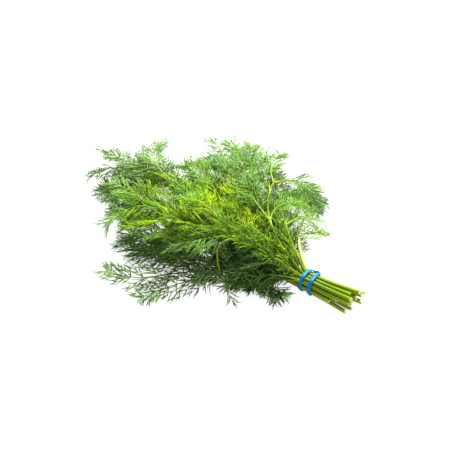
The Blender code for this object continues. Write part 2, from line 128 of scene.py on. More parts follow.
# Leaves that show their whole way: the stem that they grow from, and the rib's points.
SHOWN_LEAVES = [
    (10, [(-63, 18, 50), (-78, 23, 53), (-94, 31, 55), (-108, 42, 56), (-119, 53, 55)]),
    (10, [(-63, 18, 50), (-67, 33, 49), (-65, 50, 47), (-58, 64, 42), (-48, 74, 34)]),
    (10, [(-94, 71, 46), (-104, 80, 48), (-112, 92, 48), (-117, 106, 46), (-119, 118, 42)]),
    (10, [(-94, 71, 46), (-84, 78, 50), (-70, 82, 49), (-56, 81, 43), (-42, 78, 32)]),
    (10, [(-90, 86, 43), (-83, 95, 39), (-73, 101, 33), (-62, 104, 25), (-53, 104, 16)]),
    (15, [(-51, 30, 42), (-62, 34, 44), (-74, 41, 42), (-86, 50, 38)]),
    (15, [(-51, 30, 42), (-47, 41, 42), (-42, 53, 38), (-37, 63, 31)]),
    (12, [(-33, 29, 26), (-31, 41, 27), (-30, 53, 23), (-29, 63, 16)]),
    (18, [(-75, -20, 45), (-86, -31, 48), (-98, -43, 47), (-112, -54, 43), (-126, -63, 37)]),
    (18, [(-94, -23, 47), (-108, -14, 52), (-123, -7, 53), (-140, -3, 50), (-156, -2, 44)]),
    (16, [(-25, -9, 7), (-33, -14, 5), (-34, -20, 3), (-28, -24, 2), (-19, -27, 1.5)]),
    (11, [(-42, -8, 3), (-50, -15, 3), (-51, -23, 2), (-45, -30, 1.5)]),
    (16, [(-68, -22, 8), (-84, -40, 4), (-102, -64, 2.5), (-117, -88, 2), (-127, -110, 1.5)]),
    (11, [(-72, -18, 3), (-98, -43, 4), (-123, -69, 3.5), (-148, -93, 2.5), (-180, -104, 2)]),
    (3, [(-105, -20, 11), (-124, -40, 8), (-142, -54, 6), (-158, -62, 4), (-176, -64, 3)]),
    (18, [(-75, -20, 45), (-86, -33, 41), (-85, -42, 31), (-78, -46, 21), (-69, -51, 11), (-60, -56, 4),
          (-51, -60, 2)]),
    (18, [(-22, -7, 25), (-36, -15, 28), (-52, -24, 25), (-68, -33, 19), (-84, -42, 12)]),
    (8, [(-9, -4, 11), (-24, -15, 12), (-38, -23, 12), (-52, -32, 10), (-65, -40, 8)]),
    (2, [(-26, 2, 16), (-39, -4, 25), (-54, -9, 31), (-70, -14, 33)]),
    (5, [(-24, -2, 15), (-38, -9, 21), (-53, -17, 22), (-68, -27, 20)]),
    (7, [(-26, 8, 16), (-41, 12, 27), (-56, 14, 34), (-71, 14, 37)]),
    (13, [(-9, -6, 14), (-23, -15, 18), (-37, -24, 18), (-51, -34, 15), (-64, -44, 11)]),
    (9, [(-26, 8, 8), (-38, 23, 13), (-50, 37, 17), (-60, 50, 18)]),
    (17, [(-41, 13, 13), (-50, 28, 22), (-56, 42, 27), (-60, 56, 28)]),
    (4, [(-136, 25, 26), (-160, 39, 31), (-182, 48, 32), (-203, 53, 31)]),
    (10, [(-33, 0, 37), (-48, -3, 44), (-64, -3, 48), (-80, -1, 49), (-95, 2, 48)]),
    (15, [(-27, 12, 31), (-42, 15, 39), (-58, 16, 44), (-74, 15, 45)]),
    (4, [(-167, 31, 26), (-201, 29, 31), (-240, 20, 28), (-270, 6, 23), (-286, -10, 18)]),
    (2, [(-182, 14, 38), (-203, 17, 42), (-224, 27, 44), (-236, 41, 44), (-239, 55, 42)]),
    (0, [(-187, -5, 20), (-215, -11, 17), (-242, -19, 12), (-268, -13, 10)]),
    (5, [(-145, -23, 34), (-166, -27, 42), (-186, -40, 42), (-199, -58, 38), (-203, -74, 32)]),
    (7, [(-98, 36, 33), (-116, 54, 45), (-143, 78, 48), (-172, 101, 46)]),
    (17, [(-87, 57, 27), (-106, 74, 42), (-131, 93, 46), (-153, 111, 44)]),
    (4, [(-104, 20, 23), (-122, 42, 40), (-146, 63, 46), (-171, 80, 46), (-195, 94, 44)]),
]

# How far the foliage reaches from the band, seen from above: heading (degrees), distance.
REACH = [
    (-180, 10), (-75, 12), (-60, 18), (-50, 24), (-40, 32), (-32, 48), (-26, 92), (-23, 150), (-20, 205),
    (-14, 208), (-9, 215), (-5, 262), (2, 290), (7, 280), (12, 250), (17, 212), (24, 208), (34, 212),
    (42, 200), (52, 142), (60, 108), (68, 84), (85, 46), (110, 20), (180, 10),
]

# How high it reaches: distance from the band, height.
HEIGHT = [(0, 24), (40, 50), (80, 62), (130, 58), (200, 46), (300, 32)]


def smooth(t):
    t = min(1.0, max(0.0, t))
    return t * t * (3 - 2 * t)


def unit(v):
    return v / np.linalg.norm(v)


def pushed_apart(spots, radii):
    for a in range(STEM_COUNT):
        for b in range(a + 1, STEM_COUNT):
            apart = spots[b] - spots[a]
            far = np.linalg.norm(apart)
            need = radii[a] + radii[b] + STEM_GAP
            if far < need:
                shift = apart / far * (need - far) / 2
                spots[a] -= shift
                spots[b] += shift


def packed_stems():
    """Where each stem crosses the band: (y, z) from the bundle's middle, and its radius there."""
    rnd = random.Random("dill stems")
    radii = [rnd.uniform(*STEM_RADIUS) for _ in range(STEM_COUNT)]
    turn = math.pi * (3 - math.sqrt(5))
    spots = np.array([
        [2.4 * math.sqrt(k + 0.5) * math.cos(k * turn), 2.4 * math.sqrt(k + 0.5) * math.sin(k * turn)]
        for k in range(STEM_COUNT)
    ])
    for squeeze in [0.985] * 500 + [1.0] * 80:
        spots *= squeeze
        pushed_apart(spots, radii)
    return spots, radii


def half_hull(points):
    out = []
    for p in points:
        while len(out) > 1:
            (ay, az), (by, bz) = out[-2:]
            if (by - ay) * (p[1] - az) - (bz - az) * (p[0] - ay) > 0:
                break
            out.pop()
        out.append(p)
    return out[:-1]


def outline(spots, radii):
    """The stretched line round the stems, a little clear of them, anticlockwise."""
    turns = np.linspace(0, 2 * math.pi, 48, endpoint=False)
    points = sorted(
        (y + (r + BAND_CLEAR) * math.cos(t), z + (r + BAND_CLEAR) * math.sin(t))
        for (y, z), r in zip(spots, radii) for t in turns
    )
    return np.array(half_hull(points) + half_hull(points[::-1]))


def lowest_span(line):
    """The ends of the line's longest straight span, and the angle at which it runs."""
    edges = np.roll(line, -1, 0) - line
    k = int(np.argmax(np.linalg.norm(edges, axis=1)))
    return line[k], line[(k + 1) % len(line)], math.atan2(edges[k][1], edges[k][0])


def bundle():
    """The stems at the band, turned so that the band's longest straight span lies flat on the table."""
    spots, radii = packed_stems()
    angle = -lowest_span(outline(spots, radii))[2]
    turn = np.array([[math.cos(angle), -math.sin(angle)], [math.sin(angle), math.cos(angle)]])
    spots = spots @ turn.T
    line = outline(spots, radii)
    first, last, _ = lowest_span(line)
    middle = (first + last) / 2 - np.array([0, BAND_THICK])
    return spots - middle, radii, line - middle


def rounded(a, b, c, d, t):
    """A point between b and c on the smooth line through all four."""
    return b + 0.5 * t * (c - a + t * (2 * a - 5 * b + 4 * c - d + t * (3 * b - a - 3 * c + d)))


def distances(line):
    """How far along the line each of its points is."""
    return np.concatenate([[0], np.cumsum(np.linalg.norm(np.diff(line, axis=0), axis=1))])


def finer(points, steps):
    """The line with rounded bends: that many steps between each two of its points."""
    ends = np.vstack([2 * points[0] - points[1], points, 2 * points[-1] - points[-2]])
    t = (np.arange(steps) / steps)[:, None]
    return np.vstack([rounded(*four, t) for four in zip(ends, ends[1:], ends[2:], ends[3:])] + [points[-1:]])


def along_way(points, step):
    """A smooth line through the points, in steps of about that length."""
    line = finer(np.array(points, float), WAY_STEPS)
    far = distances(line)
    places = np.linspace(0, far[-1], max(2, round(far[-1] / step)) + 1)
    return np.stack([np.interp(places, far, line[:, k]) for k in range(3)], 1)


def fan_way(index, start, radius):
    """A stem's way past the band: it swings out to its heading, rises and then sags."""
    heading, rise, reach = FAN[index]
    wave = random.Random(f"way {index}").uniform(0, 2 * math.pi)
    sag = SAG_HIGH if rise > HIGH_RISE else SAG_LOW
    step = STEM_STEP / 4
    p = np.array(start)
    points = [p]
    for k in range(int(reach / step)):
        far = (k + 0.5) * step
        turn = heading * smooth(far / SWING) * (SWING_EASE[0] - far / SWING_EASE[1])
        turn = math.radians(turn + WAVER * smooth(far / WAVER_FROM) * math.sin(far / WAVER_LENGTH + wave))
        slope = math.radians(RISE * rise * smooth(far / RISE_LENGTH) - sag * max(0, far - SAG_FROM))
        level = math.cos(slope)
        p = p + step * np.array([-math.cos(turn) * level, math.sin(turn) * level, math.sin(slope)])
        p[2] = max(p[2], radius + STEM_CLEAR)
        points.append(p)
    return along_way(points[::4] + points[-1:], STEM_STEP)


def stem_line(index, spot, radius):
    """The stem's points from its cut end to its tip, its radius at each, and how many lie before the band."""
    y, z = spot
    cut = SHORT_STEM.get(index, CUT_LENGTH) + random.Random(f"stem {index}").uniform(-6, 4)
    behind = []
    for share in (1.0, 0.66, 0.33):
        x = STRAIGHT + (cut - STRAIGHT) * share
        t = (x - STRAIGHT) / (CUT_LENGTH - STRAIGHT)
        splay = 1 + CUT_SPLAY * t**1.5
        drop = (BAND_THICK + BAND_CLEAR) * t * t + CUT_SPLAY * radius * t**1.5
        behind.append([x, y * splay, z * splay - drop])
    start = [-STRAIGHT, y, z]
    if index in WAYS:
        ahead = along_way([start] + WAYS[index], STEM_STEP)[1:]
    else:
        ahead = fan_way(index, start, radius)[1:]
    points = np.vstack([behind, [[STRAIGHT, y, z], start], ahead])
    before = len(behind) + 1
    past = np.maximum(0, np.arange(len(points)) - before) / (len(points) - 1 - before)
    radii = radius * (1 - STEM_TAPER * past**0.6)
    radii[before + 1] *= SHEATHED.get(index, 1.0)
    return points, radii, before


class Taken:
    """The tapered rods that stand so far, each with the stem that it belongs to."""

    def __init__(self):
        self.rods = []

    def add(self, start, end, radius, owner):
        self.rods.append((*start, *end, radius, owner))

    def room(self, start, end, radius, owner):
        """The least clear space from this rod to those of the other stems."""
        rods = np.array(self.rods)
        rods = rods[rods[:, 7] != owner]
        u, v, w = end - start, rods[:, 3:6] - rods[:, :3], start - rods[:, :3]
        uu, uv, vv = u @ u, v @ u, (v * v).sum(1)
        uw, vw = w @ u, (v * w).sum(1)
        s = np.clip((uv * vw - vv * uw) / np.maximum(uu * vv - uv * uv, 1e-9), 0, 1)
        t = np.clip((uv * s + vw) / vv, 0, 1)
        s = np.clip((uv * t - uw) / uu, 0, 1)
        apart = np.linalg.norm(w + s[:, None] * u - t[:, None] * v, axis=1)
        return float((apart - radius - rods[:, 6]).min())

    def line_room(self, points, radius, owner):
        return min(self.room(a, b, radius, owner) for a, b in zip(points[:-1], points[1:]))


def from_above(points):
    """The points' distance from the band and their heading in the fan, seen from above."""
    far = np.hypot(points[..., 0], points[..., 1])
    return far, np.degrees(np.arctan2(points[..., 1], -points[..., 0]))


def outside(points):
    """How far the points stand out of the bunch's outline, from above and from the side."""
    far, heading = from_above(points)
    most = np.interp(heading, *zip(*REACH))
    most = most - LOW_SHORTER * np.clip(1 - points[:, 2] / 30, 0, 1) * (heading < -7)
    tall = np.interp(far, *zip(*HEIGHT))
    return max(0.0, (far + OUTLINE_SPARE - most).max(), (points[:, 2] - tall).max())


def sides_of(along):
    """Two directions square to this one: level, and upward."""
    across = unit(np.cross(along, UP))
    return across, np.cross(across, along)


def leaf_line(base, way, length, droop, bow, along):
    """A leaf's rib: it leaves the stem that way and arches over."""
    points = [base]
    for k in range(LEAF_PARTS):
        way = unit(way + bow * along - UP * droop * (k + 1) / LEAF_PARTS - 0.05 * AHEAD)
        p = points[-1] + way * length / LEAF_PARTS
        p[2] = max(p[2], LEAF_LOWEST)
        points.append(p)
    return np.array(points)


def best_leaf(stem, at, length, last, taken, rnd):
    """Of a few leaves that could grow there, the one with the most room inside the bunch's outline."""
    path = stem["points"]
    along = unit(path[at] - path[at - 1])
    across, lift = sides_of(along)
    best_score, best = -1e9, None
    for _ in range(LEAF_TRIES):
        turn = rnd.uniform(0, 2 * math.pi)
        out = 0.25 if last else rnd.uniform(0.55, 1.2)
        way = unit(along + (across * math.cos(turn) + lift * math.sin(turn)) * out)
        size = length * rnd.uniform(0.7, 1.0)
        points = leaf_line(path[at], way, size, rnd.uniform(0.02, 0.30), rnd.uniform(-0.06, 0.12), along)
        room = taken.line_room(free_part(points), RIB_RADIUS, stem["index"])
        own = min(np.linalg.norm(q - path, axis=1).min() for q in points[2:])
        far = min(taken.line_room(points[2:], RIB_RADIUS, stem["index"]), 20.0)
        score = min(far, own) + 0.10 * size - 1.3 * outside(points[2:])
        if room > GAP and score > best_score:
            best_score, best = score, points
    return best


def leaf_places(stem):
    """Which of the stem's points carry a leaf, from its tip down."""
    points, before = stem["points"], stem["before"]
    rnd = random.Random(f"places {stem['index']}")
    last = len(points) - 1
    heading = math.degrees(math.atan2(points[last][1], -points[last][0]))
    far = FIRST_LEAF + 0.35 * max(0, heading + 40) + rnd.uniform(-6, 10)
    places = {last}
    while far < STEM_STEP * (last - before) - 0.4 * LEAF_STEP:
        places.add(before + max(1, round(far / STEM_STEP)))
        far += LEAF_STEP * rnd.uniform(0.85, 1.15)
    if stem["index"] == HERO:
        places -= {last}
    places = sorted(places, reverse=True)
    return places[::2] if stem["index"] in WAYS else places


def free_part(points):
    """The leaf's rib from where it has left its stem."""
    return np.vstack([points[0] + 0.16 * (points[1] - points[0]), points[1:]])


def add_leaf(stem, points, taken):
    stem["leaves"].append(dict(points=points, pinnae=[]))
    free = free_part(points)
    for a, b in zip(free[:-1], free[1:]):
        taken.add(a, b, RIB_RADIUS, stem["index"])


def grow_leaves(stems, taken):
    for index, points in SHOWN_LEAVES:
        path = stems[index]["points"]
        base = path[np.argmin(np.linalg.norm(path - points[0], axis=1))]
        add_leaf(stems[index], along_way([base] + points[1:], 18), taken)
    for rank in range(max(len(leaf_places(s)) for s in stems)):
        for stem in stems:
            places = leaf_places(stem)
            if rank < len(places):
                rnd = random.Random(f"leaf {stem['index']} {rank}")
                points = best_leaf(stem, places[rank], rnd.uniform(*LEAF_LENGTH), rank == 0, taken, rnd)
                if points is not None:
                    add_leaf(stem, points, taken)


def on_line(points, share):
    """The point that share of the way along the line, and the line's direction there."""
    k = min(len(points) - 2, int(share * (len(points) - 1)))
    step = points[k + 1] - points[k]
    return points[k] + step * (share * (len(points) - 1) - k), unit(step)


def grow_pinnae(stem, leaf, number, taken):
    """The leaf's side ribs in pairs, long at its foot and short at its tip, bent clear of the other stems."""
    points = leaf["points"]
    rnd = random.Random(f"pinnae {stem['index']} {number}")
    length = np.linalg.norm(np.diff(points, axis=0), axis=1).sum()
    for pair in range(PINNA_PAIRS):
        share = min(0.97, 0.26 + 0.70 * (pair + rnd.uniform(-0.12, 0.12)) / (PINNA_PAIRS - 1))
        base, along = on_line(points, share)
        across, lift = sides_of(along)
        short, long = PINNA_LENGTH
        size = short + (long - short) * (1 - share) ** 0.8 * min(1.1, length / 95)
        roll = rnd.uniform(-0.6, 0.6)
        for hand in (-1, 1):
            for attempt in range(8):
                turn = roll + rnd.uniform(-0.3, 0.3) * (1 + attempt / 2)
                side = hand * (across * math.cos(turn) + lift * math.sin(turn))
                way = unit(along + side * rnd.uniform(0.62, 0.95))
                tip = base + way * size * rnd.uniform(0.8, 1.1) * (1 if attempt < 4 else 0.6)
                tip[2] = max(tip[2], rnd.uniform(0.0, 1.2) ** 2)
                foot = base + 0.12 * (tip - base)
                if taken.room(foot, tip, PINNA_RADIUS, stem["index"]) > GAP:
                    taken.add(foot, tip, PINNA_RADIUS, stem["index"])
                    leaf["pinnae"].append((share, tip))
                    break


spots, stem_radii, band_outline = bundle()
taken = Taken()
stems = []
for index in range(STEM_COUNT):
    points, thick, before = stem_line(index, spots[index], stem_radii[index])
    stems.append(dict(index=index, points=points, radii=thick, before=before, leaves=[]))
    for a, b, r in zip(points[:-1], points[1:], thick):
        taken.add(a, b, r, index)
taken.add(*np.array(TWIG[1:], float), TWIG_RADIUS, TWIG_STEM)
grow_leaves(stems, taken)
for stem in stems:
    for number, leaf in enumerate(stem["leaves"]):
        grow_pinnae(stem, leaf, number, taken)


# The parts of the colour map: across is the hue or the way round, up is the tone. One strip for each finish.
LEAFLET, SKIN, CUT = 0, 1, 2
STRIPS = {LEAFLET: (0.02, 0.60), SKIN: (0.64, 0.84), CUT: (0.88, 0.98)}
THREAD_HUE = 0.012


def rows_unit(v):
    return v / np.maximum(np.linalg.norm(v, axis=-1, keepdims=True), 1e-12)


def put_in_scene(name, data):
    """A new object that shows this mesh, lamp or camera."""
    made = bpy.data.objects.new(name, data)
    bpy.context.scene.collection.objects.link(made)
    return made


class Flesh:
    """The triangles of one piece, with their places on the colour map and their finishes."""

    def __init__(self):
        self.points, self.faces, self.places, self.finishes = [], [], [], []
        self.count = 0

    def add(self, points, parts, finish):
        """Adds triangles in parts: their corners, and where each corner is across and up the map."""
        low, high = STRIPS[finish]
        faces = np.concatenate([np.stack(corners, -1).reshape(-1, 3) for corners, _, _ in parts])
        spots = [np.stack([np.stack(across, -1), np.stack(up, -1)], -1) for _, across, up in parts]
        places = np.concatenate([spot.reshape(-1, 3, 2) for spot in spots])
        places[..., 1] = low + (high - low) * np.clip(places[..., 1], 0, 1)
        self.points.append(points)
        self.faces.append(faces + self.count)
        self.places.append(places)
        self.finishes.append(np.full(len(faces), finish))
        self.count += len(points)

    def tubes(self, lines, radii, hues, tones, sides, finish, pointed=True, roll=0.0, profile=1.0, ends=True):
        """Closed tubes along lines of equally many points. hues are where they begin and end across the map."""
        count, rings = lines.shape[:2]
        along = rows_unit(np.gradient(lines, axis=1))
        steep = np.abs(along[:, 0, 2:]) > 0.9
        side = rows_unit(np.cross(along[:, 0], np.where(steep, AHEAD, UP)))
        frames = []
        for k in range(rings):
            side = rows_unit(side - along[:, k] * (side * along[:, k]).sum(-1, keepdims=True))
            frames.append(side)
        across = np.stack(frames, 1)[:, :, None]
        lift = np.cross(along[:, :, None], across)
        angles = 2 * math.pi * np.arange(sides) / sides + np.reshape(roll, (-1, 1))
        cos, sin = (f(angles)[:, None, :, None] for f in (np.cos, np.sin))
        radii = np.asarray(radii)[:, :, None, None] * np.reshape(profile, (1, 1, -1, 1))
        points = lines[:, :, None] + radii * (cos * across + sin * lift)
        full = rings - pointed
        around = hues[0][:, None] + (hues[1] - hues[0])[:, None] * np.arange(sides + 1) / sides
        left, right = around[:, :-1], around[:, 1:]
        levels = [np.broadcast_to(tones[:, k, None], left.shape) for k in range(rings)]
        first = (np.arange(count) * (full * sides + pointed))[:, None]
        s = np.arange(sides)
        t = (s + 1) % sides
        parts = []
        for k in range(full - 1):
            a, b = first + k * sides + s, first + k * sides + t
            low, high = levels[k], levels[k + 1]
            parts.append(((a, b, b + sides), (left, right, right), (low, low, high)))
            parts.append(((a, b + sides, a + sides), (left, right, left), (low, high, high)))
        if pointed:
            a, b = first + (full - 1) * sides + s, first + (full - 1) * sides + t
            tip = np.broadcast_to(first + full * sides, a.shape)
            low, high = levels[full - 1], levels[full]
            parts.append(((a, b, tip), (left, right, (left + right) / 2), (low, low, high)))
        caps = [(0, True)] + ([] if pointed else [(full - 1, False)])
        for ring, turned in caps if ends else caps[1:]:
            fan = np.arange(1, sides - 1)
            a = np.broadcast_to(first + ring * sides, (count, len(fan)))
            b, c = first + ring * sides + fan, first + ring * sides + fan + 1
            tone = tones[:, ring, None] + 0 * fan
            start, end = left[:, :1] + 0 * fan, right[:, -1:] + 0 * fan
            parts.append(((a, c, b) if turned else (a, b, c), (start, end, start), (tone, tone, tone + 0.02)))
        flat = points[:, :full].reshape(count, -1, 3)
        if pointed:
            flat = np.concatenate([flat, lines[:, -1:]], 1)
        self.add(flat.reshape(-1, 3), parts, finish)
        return points

    def skin_tube(self, line, radii, tone, sides, **more):
        """One tube of the stems' skin. The colour map goes once round it."""
        once_round = (np.zeros(1), np.ones(1))
        return self.tubes(line[None], radii[None], once_round, tone[None], sides, SKIN, **more)[0]

    def piece(self, name, materials):
        """A mesh object of it all, in metres."""
        points = np.concatenate(self.points)
        faces = np.concatenate(self.faces)
        places = np.concatenate(self.places)
        points[:, 0] += BAND_APART
        mesh = bpy.data.meshes.new(name)
        mesh.vertices.add(len(points))
        mesh.vertices.foreach_set("co", (points * MM).astype(np.float32).ravel())
        mesh.loops.add(faces.size)
        mesh.loops.foreach_set("vertex_index", faces.astype(np.int32).ravel())
        mesh.polygons.add(len(faces))
        mesh.polygons.foreach_set("loop_start", np.arange(0, faces.size, 3, dtype=np.int32))
        mesh.polygons.foreach_set("material_index", np.concatenate(self.finishes).astype(np.int32))
        layer = mesh.uv_layers.new(name="OFBake")
        mesh.update(calc_edges=True)
        layer.data.foreach_set("uv", places.astype(np.float32).ravel())
        mesh.shade_smooth()
        for material in materials:
            mesh.materials.append(material)
        return put_in_scene(name, mesh)


# The foliage's colour: hue (from olive by green to yellow) and tone (from dark to light), which is mostly
# painted light and shade, what adds to them, and over which stretch of place, height or heading.
FRESH = (0.62, 0.07)
HIGH_POWER = 1.65
BACK_FROM, BACK_TO = 34, 84
DISTANT_FROM, DISTANT_TO = 195, 240
LOW_FROM, LOW_TO = 16, 0
FRONT_FROM, FRONT_TO = -5, -17
BRUSH_HEADING, BRUSH_WIDTH = -16, 17
BRUSH_FROM, BRUSH_TO = 75, 125
BRUSH_HEIGHT = 22
# What each kind of place adds to the hue and to the tone. The tone adds painted light on top, at the back, far
# off and low in front.
HUE_AND_PAINTED_LIGHT_BY_KIND = {
    "brushed": (0.05, 0.0), "high": (0.0, 0.56), "back": (-0.08, 0.34), "distant": (-0.14, 0.62),
    "low": (-0.04, 0.0), "front": (0.0, 0.36), "raised front": (-0.20, 0.0),
}
RIGHT_LOBE = ((-41, 52, 28), (28, 22, 22))
# Spots that add to the hue and the tone: painted light on the right lobe, far to the left and at the back,
# painted shade in three darker spots inside the bunch and on the plume, and yellow patches, one of them also
# brighter in tone.
HUE_AND_PAINTED_LIGHT_BY_SPOT = {
    RIGHT_LOBE: (0.10, 0.86),
    ((-127, 17, 48), (15, 20, 17)): (0.30, 0.40),
    ((-77, 3, 49), (9, 8, 10)): (0.24, 0.0),
    ((-160, 8, 34), (34, 24, 24)): (-0.06, 0.80),
    ((-58, 10, 44), (9, 10, 14)): (0.0, -0.40),
    ((-52, 62, 38), (24, 18, 16)): (0.0, 0.25),
    ((-72, 6, 30), (26, 20, 13)): (0.0, -0.30),
    ((-130, -33, 46), (24, 20, 18)): (0.0, -0.24),
}


def part_way(value, start, end):
    """How far the value is from the start to the end, from 0 to 1."""
    return np.clip((value - start) / (end - start), 0, 1)


def bump(offset, width):
    """1 where the offset is 0, fading to 0 a few widths away."""
    return np.exp(-((offset / width) ** 2))


def nearness(points, centre, size):
    """1 at the centre, fading to 0 a few sizes away."""
    return np.exp(-(((points - np.array(centre)) / np.array(size)) ** 2).sum(-1))


def brushed(points):
    """How much the foliage there is the long brush of the plume that lies on top, to the left."""
    far, heading = from_above(points)
    towards = bump(heading - BRUSH_HEADING, BRUSH_WIDTH)
    return towards * part_way(far, BRUSH_FROM, BRUSH_TO) * part_way(points[..., 2], 0, BRUSH_HEIGHT)


def hue_and_painted_light(points):
    """The foliage's hue and painted light at a place: painted light on top, at the back, far off and low in
    front, and painted shade below; the hue is yellower in the brushed plume and grey-green at the back and far
    off.
    """
    far, heading = from_above(points)
    high = part_way(points[..., 2], 0, np.interp(far, *zip(*HEIGHT)))
    low = part_way(points[..., 2], LOW_FROM, LOW_TO)
    front = part_way(heading, FRONT_FROM, FRONT_TO) * np.clip(1.15 - 1.2 * high, 0, 1)
    back = part_way(points[..., 1], BACK_FROM, BACK_TO)
    share = {
        "brushed": brushed(points), "high": high**HIGH_POWER, "back": back, "low": low, "front": front,
        "distant": part_way(far, DISTANT_FROM, DISTANT_TO), "raised front": front * (1 - low),
    }
    hue, tone = FRESH
    for kind, (yellower, painted_light_and_shade) in HUE_AND_PAINTED_LIGHT_BY_KIND.items():
        hue, tone = hue + yellower * share[kind], tone + painted_light_and_shade * share[kind]
    for spot, (yellower, painted_light_and_shade) in HUE_AND_PAINTED_LIGHT_BY_SPOT.items():
        near = nearness(points, *spot)
        hue, tone = hue + yellower * near, tone + painted_light_and_shade * near
    return hue, tone


# The loose fronds in front, which lie nearer the table, further forward and further from the band than these,
# or on these headings below these heights.
FRINGE_NEAR = (-60, -13, 8)
FRINGE_TIPS = (-150, -30, 12)
FRINGE = ((-28, 34), (-16, 24))


def on_fringe(place):
    """Whether a place is among the loose fronds that lie on the table in front of the bunch."""
    x, y, z = place
    near_x, near_y, near_z = FRINGE_NEAR
    if x > near_x:
        return z < near_z and y < near_y
    _, heading = from_above(place)
    at_tips = all(value < most for value, most in zip(place, FRINGE_TIPS))
    return at_tips or any(heading < most and z < tall for most, tall in FRINGE)


# How they stand: angle to the side rib, least and greatest length, spacing, number of forks. In the plume they
# are brushed together, and in the loose fronds on the table they stand far apart.
PLAIN_HABIT = (0.50, 9.0, 18.0, 3.3, 1)
LOOSE_HABIT = (0.52, 13.0, 25.0, 7.6, 1)
BRUSHED_HABIT = (-0.22, 8.0, -0.3)
DISTANT_SPACING = -0.6
CLOSER_FROM, CLOSER_TO = 185, 225
AIRY_SPACING = 2.4
TWO_FORKS_BELOW = 30.0


def habit(place):
    """How the threads stand there."""
    if on_fringe(place):
        return LOOSE_HABIT
    brush = float(brushed(place))
    far, _ = from_above(place)
    sweep, least, longest, spacing, forks = PLAIN_HABIT
    less_sweep, longer, closer = BRUSHED_HABIT
    spacing = spacing + closer * brush + DISTANT_SPACING * part_way(far, CLOSER_FROM, CLOSER_TO)
    spacing = spacing + AIRY_SPACING * float(nearness(place, *RIGHT_LOBE))
    forks = forks + (place[2] < TWO_FORKS_BELOW)
    return sweep + less_sweep * brush, least, longest + longer * brush, spacing, forks


# The threads: their radius from foot to tip, how they part, curl and droop, and their forks.
THREAD_RADIUS = (0.40, 0.37, 0.30)
THREAD_PARTS = (0.36, 0.34, 0.30)
THREAD_SIDES = 3
THREAD_CURL = 0.24
THREAD_LEAN = 0.32
THREAD_DROOP = 0.14
THREADED = (0.13, 0.985)
THREADED_LENGTH = 0.86
THREAD_SHORTER = 0.55
THREAD_LENGTH_APART = (0.7, 1.2)
THREAD_SWEEP_APART = (0.6, 1.35)
THREAD_ROLL_APART = 0.40
THREAD_THICK_APART = (0.85, 1.15)
THREAD_HUE_APART = 0.025
TUFT_FROM = 0.93
TUFT_SWEEP = 0.45
FORK_RADIUS = 0.34
FORK_ANGLE = (0.22, 0.55)
FORK_LENGTH = (0.36, 0.60)
LOW_THICKER = 0.60
LOW_THICKER_BELOW = 16.0
CLUMP_TONE = 0.16
THREAD_TONE = 0.24
THREAD_TONES = (0.05, 0.92)
TIP_LIGHTER = 0.10


def curved(a, m, b, t):
    """Points and directions of the bend from a by m to b."""
    t = np.asarray(t)[..., None]
    return (1 - t) ** 2 * a + 2 * t * (1 - t) * m + t * t * b, rows_unit((1 - t) * (m - a) + t * (b - m))


